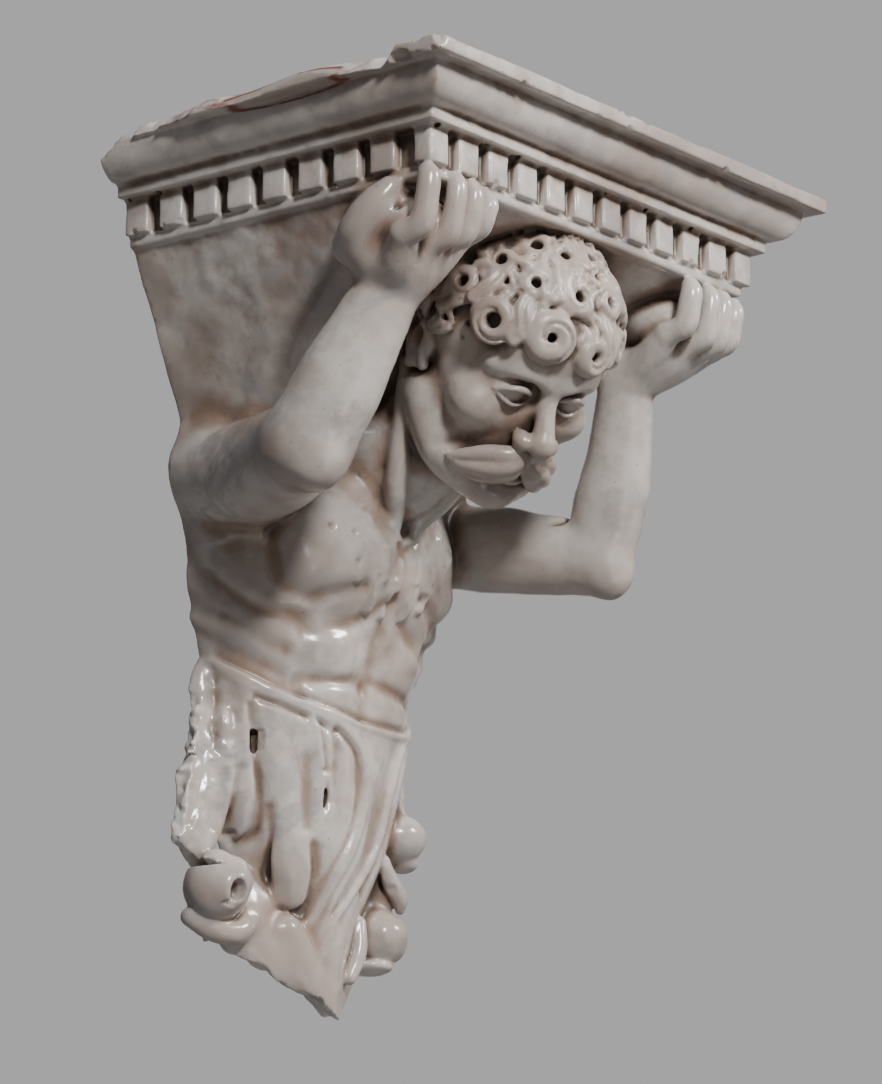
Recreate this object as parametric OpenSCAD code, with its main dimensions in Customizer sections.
// Wall corbel: a moulded shelf carried on the raised hands of a moustached
// bearer, whose body ends in a broken acanthus pendant. One block of stone.
// Frame: X to the viewer's right, Y into the wall, Z up. The origin is on the
// wall face, on the centre line, level with the underside of the shelf.

/* [Shelf] */
// Width of the top fillet across the front
shelf_w = 340; // [300:1:400]
// Projection of the top fillet from the wall
shelf_d = 235; // [215:1:280]
// Height of the top fillet
top_fillet_h = 8; // [5:0.5:12]
// Height of the ovolo below it
ovolo_h = 16.5; // [12:0.5:24]
// Height of the fillet over the dentils
dentil_fillet_h = 8; // [5:0.5:12]
// Height of the plain band under the dentils
band_h = 6; // [4:0.5:10]
// Projection of the top fillet beyond the dentil faces
overhang = 30; // [24:0.5:38]
// Projection of the dentil fillet beyond the dentil faces
dentil_fillet_out = 6; // [3:0.5:9]
// Set-back of the ovolo under the top fillet
ovolo_shadow = 9.5; // [6:0.5:12]

/* [Dentils] */
// Height of a dentil
dentil_h = 18.5; // [14:0.5:24]
// Width of a dentil
dentil_w = 15.6; // [12:0.2:18]
// Depth that the gaps are sunk
dentil_depth = 6; // [4:0.5:9]
// Number of dentils across the front
front_dentils = 12; // [10:1:14]
// Number of dentils on each side
side_dentils = 9; // [7:1:10]

/* [Figure] */
// Drop from the underside of the shelf to the broken tip
figure_drop = 392; // [330:1:470]
// Distance of each elbow from the centre line
elbow_spread = 123; // [110:1:140]
// Distance of the elbows from the wall
elbow_reach = 112; // [98:1:134]
// Thickness of the arm at the elbow
arm_d = 50; // [42:1:58]
// Thickness of the wrist
wrist_d = 34; // [28:1:40]
// Thickness of a finger
finger_d = 13; // [10:0.5:15]
// Height of the head from chin to crown
head_h = 138; // [120:1:156]
// Forward tilt of the bowed head, in degrees
head_tilt = 44; // [38:1:48]
// Turn of the head to its own right, in degrees
head_turn = 14; // [0:1:20]
// Distance of the middle of the head from the wall
head_reach = 143; // [120:1:160]
// Half width of the body at the chest
chest_half_w = 92; // [80:1:106]
// Projection of the chest from the wall
chest_d = 78; // [68:1:92]
// Half width of the body at the waist
waist_half_w = 75; // [66:1:84]
// Diameter of the drill that opened the curls
drill_d = 6; // [4:0.5:8]

/* [Hidden] */

stone = [0.80, 0.77, 0.73];
behind = 12;       // what is cut away behind the wall face
bite = 4;          // how far neighbouring forms run into each other
grip_rise = 9;     // height of the fingertips over the underside of the shelf

shelf_h = top_fillet_h + ovolo_h + dentil_fillet_h + dentil_h + band_h;
face_x = shelf_w / 2 - overhang;           // side faces of the dentils
face_y = shelf_d - overhang;               // front faces of the dentils
front_pitch = (2 * face_x - dentil_w) / (front_dentils - 1);
side_pitch = (face_y - dentil_w) / (side_dentils - 1);
ground_x = face_x - dentil_depth;
ground_y = face_y - dentil_depth;
band_in = 3;                               // set-back of the band from the dentils
drawn_drop = 392;                          // drop for which the bearer is drawn

// ---------------------------------------------------------------- functions

function unit(v) = v / norm(v);

// Smooth curve through the points p at parameter t, by Catmull and Rom.
function clamp_index(p, i) = p[max(0, min(len(p) - 1, i))];
function curve_at(p, t) =
    let (i = min(floor(t), len(p) - 2), u = t - i,
         a = clamp_index(p, i - 1), b = clamp_index(p, i),
         c = clamp_index(p, i + 1), d = clamp_index(p, i + 2))
    0.5 * (2 * b + (c - a) * u + (2 * a - 5 * b + 4 * c - d) * u * u
           + (3 * b - a - 3 * c + d) * u * u * u);

// Ring of a limb: centre, direction, radius and number of sides.
function limb_ring(centre, along, r, sides) =
    let (ref = abs(along.x) < 0.8 ? [1, 0, 0] : [0, 0, 1],
         n = unit(cross(along, ref)), b = cross(along, n))
    [for (k = [0 : sides - 1]) centre + r * (n * cos(360 * k / sides) + b * sin(360 * k / sides))];

// ---------------------------------------------------------------- basic forms

// Closed skin over rings of equal length, capped flat at both ends.
module skin(rings) {
    m = len(rings[0]);
    last = len(rings) - 1;
    polyhedron(
        points = [for (r = rings) each r],
        faces = concat(
            [[for (k = [0 : m - 1]) k]],
            [[for (k = [m - 1 : -1 : 0]) last * m + k]],
            [for (i = [0 : last - 1], k = [0 : m - 1])
                let (a = i * m + k, b = i * m + (k + 1) % m)
                [b, a, a + m, b + m]]),
        convexity = 6);
}

// Round limb through points, with a radius at each and a rounded far end.
module limb(points, radii, sides = 9, steps = 2) {
    count = (len(points) - 1) * steps;
    spine = [for (i = [0 : count]) curve_at(points, i / steps)];
    sizes = [for (i = [0 : count]) curve_at(radii, i / steps)];
    heading = [for (i = [0 : count])
        unit(spine[min(count, i + 1)] - spine[max(0, i - 1)])];
    skin(concat(
        [for (a = [60]) limb_ring(
            spine[0] - heading[0] * sizes[0] * sin(a), heading[0], sizes[0] * cos(a), sides)],
        [for (i = [0 : count]) limb_ring(spine[i], heading[i], sizes[i], sides)],
        [for (a = [35, 65]) limb_ring(
            spine[count] + heading[count] * sizes[count] * sin(a),
            heading[count], sizes[count] * cos(a), sides)]));
}

// Ellipsoid.
module swell(centre, radii, turn = [0, 0, 0], facets = 10) {
    translate(centre) rotate(turn) scale(radii) sphere(r = 1, $fn = facets);
}

// The same form on both sides of the centre line.
module both_sides() {
    children();
    mirror([1, 0, 0]) children();
}

// Block under the shelf outline, from z_low to z_high, with side and front faces at x and y.
module course(x, y, z_low, z_high) {
    translate([-x, -y, z_low]) cube([2 * x, y, z_high - z_low]);
}

// ---------------------------------------------------------------- shelf

// Ovolo: stacked mitred steps of a quarter ellipse, each a tapered slab.
module ovolo() {
    steps = 6;
    z_low = shelf_h - top_fillet_h - ovolo_h;
    root = dentil_fillet_out + 1;
    swing = overhang - ovolo_shadow - root;
    function out(u) = root + swing * sqrt(1 - pow(1 - u, 2));
    for (i = [0 : steps - 1])
        let (low = out(pow(i / steps, 1.5)), high = out(pow((i + 1) / steps, 1.5)))
        slab(face_x + low, face_y + low, z_low + pow(i / steps, 1.5) * ovolo_h,
             face_x + high, face_y + high, z_low + pow((i + 1) / steps, 1.5) * ovolo_h);
}

// Slab whose side and front faces slope between two outlines.
module slab(x_low, y_low, z_low, x_high, y_high, z_high) {
    polyhedron(
        points = [
            [-x_low, 0, z_low], [x_low, 0, z_low], [x_low, -y_low, z_low], [-x_low, -y_low, z_low],
            [-x_high, 0, z_high], [x_high, 0, z_high], [x_high, -y_high, z_high], [-x_high, -y_high, z_high]],
        faces = [[3, 2, 1, 0], [4, 5, 6, 7], [1, 5, 4, 0], [2, 6, 5, 1], [3, 7, 6, 2], [0, 4, 7, 3]]);
}

module dentil_course() {
    z_low = band_h;
    course(ground_x, ground_y, z_low, z_low + dentil_h);
    for (i = [0 : front_dentils - 1])
        translate([-face_x + i * front_pitch, -face_y, z_low])
            cube([dentil_w, dentil_depth + bite, dentil_h]);
    both_sides()
        for (i = [1 : side_dentils - 1])
            translate([face_x - dentil_depth - bite, -face_y + i * side_pitch, z_low])
                cube([dentil_depth + bite, dentil_w, dentil_h]);
}

// Broken stretch of the top edge on the left side, as a run of chamfer cuts.
module broken_edge() {
    bites = [9, 12, 8, 11, 7, 13, 9];
    reach = (shelf_d - 12) / len(bites);
    for (i = [0 : len(bites) - 1])
        let (d = bites[i])
        translate([-shelf_w / 2, -i * reach, shelf_h])
            rotate([90, 0, 0])
                linear_extrude(height = reach + (i % 2) * 4)
                    polygon([[-bite, bite], [d * 1.1, bite], [d * 0.6, -d * 0.5], [-bite, -d]]);
}

module shelf() {
    z_fillet = shelf_h - top_fillet_h;
    difference() {
        union() {
            course(shelf_w / 2, shelf_d, z_fillet, shelf_h);
            ovolo();
            course(face_x + dentil_fillet_out, face_y + dentil_fillet_out,
                   band_h + dentil_h, z_fillet - ovolo_h);
            dentil_course();
            course(face_x - band_in, face_y - band_in, 0, band_h);
        }
        broken_edge();
    }
}

// ---------------------------------------------------------------- bracket block

// Tapered block between the shelf and the shoulders: concave in front.
module bracket_block() {
    drop = 144;
    steps = 8;
    x_top = face_x - band_in - 2;
    x_low = chest_half_w - 11;
    y_top = face_y - band_in - 4;
    y_low = 40;
    function half_w(u) = x_low + (x_top - x_low) * pow(max(0, 1 - u / 0.78), 1.1);
    function depth(u) = y_low + (y_top - y_low) * pow(1 - u, 2.4);
    function section(u) =
        let (x = half_w(u), y = depth(u), r = min(18, y / 3), z = -u * drop + 1)
        concat([[x, behind, z]],
               [for (a = [0 : 30 : 90]) [x - r + r * cos(a), -y + r - r * sin(a), z]],
               [for (a = [90 : 30 : 180]) [-x + r + r * cos(a), -y + r - r * sin(a), z]],
               [[-x, behind, z]]);
    skin([for (i = [0 : steps]) section(i / steps)]);
}

// ---------------------------------------------------------------- body and pendant

// Rows: height, half width at the wall, projection, roundness (2 is an ellipse, less is keeled).
function body_rows() = [
    [-70, chest_half_w * 0.78, chest_d * 0.45, 2.2],
    [-95, chest_half_w * 0.96, chest_d * 0.75, 2.2],
    [-118, chest_half_w * 1.02, chest_d * 0.90, 2.1],
    [-145, chest_half_w, chest_d, 2.1],
    [-170, chest_half_w - 4, chest_d * 0.97, 2.0],
    [-190, chest_half_w - 8, chest_d * 0.78, 2.0],
    [-214, waist_half_w + 1, chest_d * 0.68, 2.0],
    [-238, waist_half_w - 1, chest_d * 0.64, 2.0],
    [-258, waist_half_w - 3, chest_d * 0.63, 1.9],
    [-285, waist_half_w * 0.90, chest_d * 0.60, 1.7],
    [-310, waist_half_w * 0.76, chest_d * 0.56, 1.6],
    [-335, waist_half_w * 0.54, chest_d * 0.44, 1.6],
    [-358, waist_half_w * 0.38, chest_d * 0.40, 1.7],
    [-378, waist_half_w * 0.26, chest_d * 0.37, 1.8],
    [-drawn_drop, waist_half_w * 0.12, chest_d * 0.34, 2.0]];

function body_ring(row, sides) =
    let (z = row[0], a = row[1], b = row[2], power = 2 / row[3])
    concat([[a, behind, z]],
           [for (k = [0 : sides])
               let (c = cos(180 * k / sides), s = sin(180 * k / sides))
               [a * sign(c) * pow(abs(c), power), -b * pow(max(s, 0), power), z]],
           [[-a, behind, z]]);

module body() {
    rows = body_rows();
    steps = 2;
    count = (len(rows) - 1) * steps;
    skin([for (i = [0 : count]) body_ring(curve_at(rows, i / steps), 14)]);
    both_sides() {
        swell([chest_half_w * 0.50, -chest_d * 0.62, -157], [27, 17, 23]);               // chest muscle
        limb([[9, -chest_d * 0.94, -128], [48, -chest_d * 0.74, -112],
              [chest_half_w - 8, -chest_d * 0.34, -100]], [5, 6, 7], 8);                 // collar bone
        swell([waist_half_w * 0.38, -chest_d * 0.48, -206], [26, 17, 15]);               // lower ribs
    }
    waist_edge();
    leaf();
    volutes();
}

// Rolled upper edge of the leaf, round the waist and dipping in front.
module waist_edge() {
    function edge_point(a) =
        [waist_half_w * cos(a), -chest_d * 0.66 * sin(a), -211 - 29 * sin(a)];
    limb([for (a = [-4 : 23.5 : 184]) edge_point(a)],
         [for (a = [-4 : 23.5 : 184]) 3], 6, 2);
}

// Hanging lobes of the acanthus: centre line and radii, from the waist down.
module leaf() {
    w = waist_half_w;
    d = chest_d;
    limb([[-w - 4, -2, -226], [-w - 12, -4, -262], [-w - 13, -4, -304]], [6, 10, 10]);        // wing
    limb([[w - 6, -4, -226], [w - 2, -6, -258], [w - 8, -8, -290]], [6, 10, 8]);
    limb([[-w * 0.90, -d * 0.22, -228], [-w * 0.97, -d * 0.30, -262],
          [-w * 0.90, -d * 0.28, -304]], [7, 13, 8]);                                         // near lobe
    limb([[-w * 0.55, -d * 0.48, -240], [-w * 0.60, -d * 0.48, -285],
          [-w * 0.58, -d * 0.44, -328]], [7, 15, 9]);                                         // hanging lobe
    limb([[w * 0.62, -d * 0.40, -236], [w * 0.66, -d * 0.38, -270],
          [w * 0.62, -d * 0.30, -300]], [7, 11, 8]);
    limb([[-w * 0.10, -d * 0.60, -240], [w * 0.06, -d * 0.62, -275],
          [w * 0.02, -d * 0.46, -335], [0, -d * 0.30, -388]], [7, 7, 7, 5], 8);               // middle rib
}

// Rolled tips and drilled buds under the lobes.
module volutes() {
    swell([-80, -15, -333], [18, 18, 19]);
    swell([-52, -8, -348], [22, 10, 14]);
    swell([65, -22, -295], [12, 13, 14]);
    swell([46, -18, -343], [17, 17, 15]);
    swell([56, -8, -318], [14, 10, 14]);
}

// Fracture that ends the pendant, sloping down from the wall.
module fracture() {
    translate([0, 0, -figure_drop])
        rotate([-35, 14, 0])
            translate([-200, -20, -120])
                cube([400, 200, 132]);
}

// ---------------------------------------------------------------- arms and hands

// Bent arm with its hand. The two are not quite alike: the left is the fuller.
module arm(side, elbow_z, wrist_in, wrist_back, fullness, hand_in, hand_drop) {
    r = arm_d / 2 * fullness;
    shoulder = [side * (chest_half_w - 12), 0, -112];
    elbow = [side * elbow_spread, -elbow_reach, elbow_z];
    wrist = [side * (face_x - wrist_in), -(face_y - wrist_back), -43];
    middle = (elbow + wrist) / 2 + [side * 2, -3, 0];
    limb([shoulder, [side * (chest_half_w + 6), -elbow_reach / 2, elbow_z / 2 - 58], elbow],
         [r * 0.90, r * 1.04, r * 0.98], 12);
    limb([elbow, middle, wrist], [r * 0.96, r * 0.88, wrist_d / 2 * fullness], 12);
    swell(elbow + [side, -4, -8], [r * 0.80, r * 0.80, r * 0.84]);
    hand(side, wrist, fullness, hand_in, hand_drop);
}

// Hand bent back under a corner of the shelf, its fingers hooked up over the band.
module hand(side, wrist, fullness, inward, drop) {
    r = finger_d / 2 * fullness;
    x_out = face_x - 2 - inward;
    palm = [side * (x_out - 18), -(face_y - 38), -22 - drop];
    limb([wrist, (wrist + palm) / 2, palm],
         [wrist_d / 2 * fullness, wrist_d * 0.56 * fullness, wrist_d * 0.5 * fullness], 12);
    swell(palm, [27, 32 * fullness, 17 * fullness], [12, 0, 0], 10);
    for (k = [0 : 3])
        let (x = side * (x_out - (k == 0 ? 0 : 6) - k * finger_d * fullness), lift = k * 1.5 - drop)
        limb([[x, -(face_y - 20), -26 + lift], [x, -(face_y - 2), -25 + lift],
              [x, -(face_y + 4), -11 - drop * 0.6], [x, -(face_y + 2), grip_rise - r - drop]],
             [r * 1.1, r * 1.1, r, r * 0.9], 6);
    limb([[side * (x_out - 2), -(face_y - 46), -24 - drop], [side * (x_out + 1), -(face_y - 34), -14 - drop],
          [side * (x_out - 1), -(face_y - 26), -4 - drop]], [r * 1.2, r * 1.2, r], 6);
}

// ---------------------------------------------------------------- head

module head() {
    translate([0, -head_reach, -53]) rotate([0, 0, -head_turn]) rotate([head_tilt, 0, 0])
    scale(head_h / 128) {
        swell([0, 6, 12], [42, 54, 48], [0, 0, 0], 12);          // skull
        swell([0, -10, -20], [35, 35, 42], [0, 0, 0], 12);       // face
        swell([0, -32, -53], [15, 13, 11], [0, 0, 0], 10);                      // chin
        swell([0, -35, 9], [32, 12, 8], [0, 0, 0], 10);                         // brow
        limb([[0, -43, 4], [0, -50, -9], [0, -55, -21]], [5, 6, 7], 8, 2);   // nose
        swell([0, -41, -44], [13, 7, 6], [0, 0, 0], 8);                        // lower lip
        both_sides() {
            swell([21, -29, -12], [13, 13, 12], [0, 0, 0], 10);                 // cheek
            swell([7, -47, -24], [6, 7, 5], [0, 0, 0], 8);       // nostril
            limb([[0, -48, -32], [13, -46, -35], [27, -35, -33]], [6, 7, 3], 8, 2);   // moustache
            swell([42, 10, -8], [6, 11, 17], [10, 0, 0], 10);    // ear
        }
        hair();
    }
    // neck, from the nape down into the chest
    limb([[0, -head_reach + 28, -70], [0, -86, -102], [0, -34, -126]], [33, 35, 45], 14);
}

// Drilled curls in rows over the skull.
module hair() {
    rows = [[24, -76, 76, 30], [50, -104, 104, 41.6], [76, -120, 120, 80]];   // height, first, last, step
    r = 12;
    swell([0, 14, 20], [48, 56, 48], [0, 0, 0], 12);
    for (row = rows, a = [row[1] : row[3] : row[2]])
        let (c = cos(row[0]))
        translate([44 * sin(a) * c, 6 - 55 * cos(a) * c, 12 + 48 * sin(row[0])])
            rotate([0, 0, a]) rotate([90 - row[0], 0, 0])
                difference() {
                    scale([1, 1, 0.9]) sphere(r = r, $fn = 8);
                    cylinder(h = 2 * r, d = drill_d, $fn = 6);
                }
}

// ---------------------------------------------------------------- the one stone

// The bearer, drawn for a drop of drawn_drop and stretched to the drop asked for.
module bearer() {
    resize([0, 0, figure_drop + grip_rise])
        intersection() {
            union() {
                bracket_block();
                body();
                arm(-1, -122, 26, 46, 1, 0, 0);
                arm(1, -134, 42, 53, 0.86, 16, 8);
                head();
            }
            translate([-shelf_w, -shelf_d, -drawn_drop])
                cube([2 * shelf_w, shelf_d + behind, drawn_drop + grip_rise]);
        }
}

module corbel() {
    color(stone)
        intersection() {
            difference() {
                union() {
                    shelf();
                    bearer();
                }
                fracture();
            }
            translate([-shelf_w, -2 * shelf_d, -2 * figure_drop])
                cube([2 * shelf_w, 2 * shelf_d, 2 * figure_drop + shelf_h]);
        }
}

corbel();
